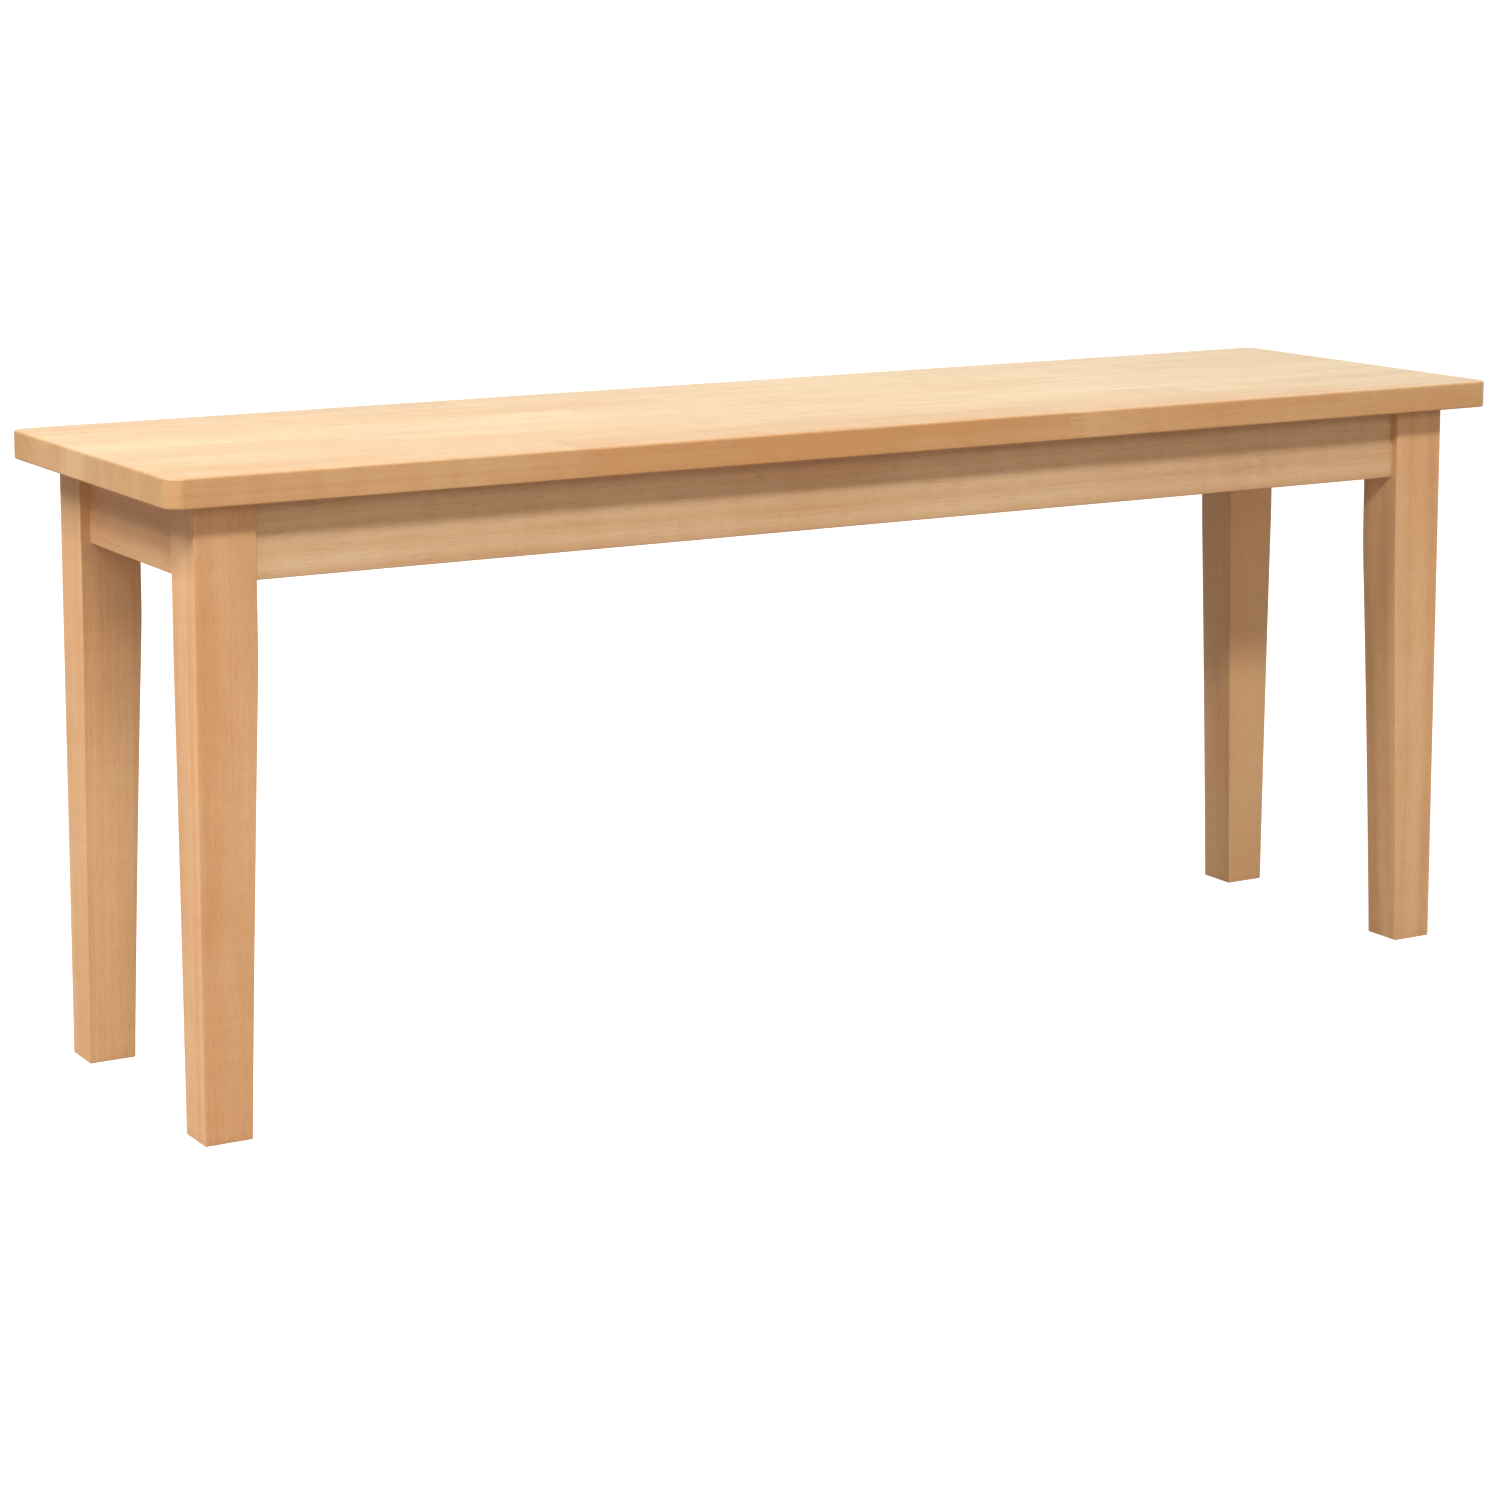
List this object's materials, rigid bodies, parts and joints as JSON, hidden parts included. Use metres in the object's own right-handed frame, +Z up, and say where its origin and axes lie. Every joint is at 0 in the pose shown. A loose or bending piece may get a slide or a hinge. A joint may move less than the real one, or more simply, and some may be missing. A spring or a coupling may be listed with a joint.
{
  "type": "backless dining bench",
  "caption": "Backless dining bench in light hardwood: slab seat of finger-jointed staves with rounded corners, plain aprons, square legs tapered on their inner faces, bolted corner blocks.",
  "frame": {"origin": "on the floor under the middle of the seat, which is the bottom centre of the bounding box", "axes": "+X along the seat, to the right for someone facing the front long side; -Y is the front; +Z is up"},
  "size_m": [1.1, 0.3, 0.448],
  "materials": {
    "seat_wood": "satin clear lacquer",
    "frame_wood": "satin clear lacquer",
    "inner_wood": "bare planed wood",
    "zinc_plated_steel": "bright zinc plate"
  },
  "bodies": {
    "root": {"back_apron": "frame_wood", "back_left_corner_block": "inner_wood", "back_left_leg": "frame_wood", "back_right_corner_block": "inner_wood", "back_right_leg": "frame_wood", "centre_rail": "inner_wood", "corner_block_screws": "zinc_plated_steel", "front_apron": "frame_wood", "front_left_corner_block": "inner_wood", "front_left_leg": "frame_wood", "front_right_corner_block": "inner_wood", "front_right_leg": "frame_wood", "hanger_bolts": "zinc_plated_steel", "hex_nuts": "zinc_plated_steel", "left_end_apron": "frame_wood", "rail_dowels": "inner_wood", "right_end_apron": "frame_wood", "seat_screws": "zinc_plated_steel", "seat_stave_1_block_1": "seat_wood", "seat_stave_1_block_2": "seat_wood", "seat_stave_1_block_3": "seat_wood", "seat_stave_2_block_1": "seat_wood", "seat_stave_2_block_2": "seat_wood", "seat_stave_2_block_3": "seat_wood", "seat_stave_3_block_1": "seat_wood", "seat_stave_3_block_2": "seat_wood", "seat_stave_3_block_3": "seat_wood", "seat_stave_4_block_1": "seat_wood", "seat_stave_4_block_2": "seat_wood", "seat_stave_4_block_3": "seat_wood", "seat_stave_5_block_1": "seat_wood", "seat_stave_5_block_2": "seat_wood", "seat_stave_5_block_3": "seat_wood", "seat_stave_6_block_1": "seat_wood", "seat_stave_6_block_2": "seat_wood", "seat_stave_6_block_3": "seat_wood", "washers": "zinc_plated_steel"}
  },
  "joints": []
}
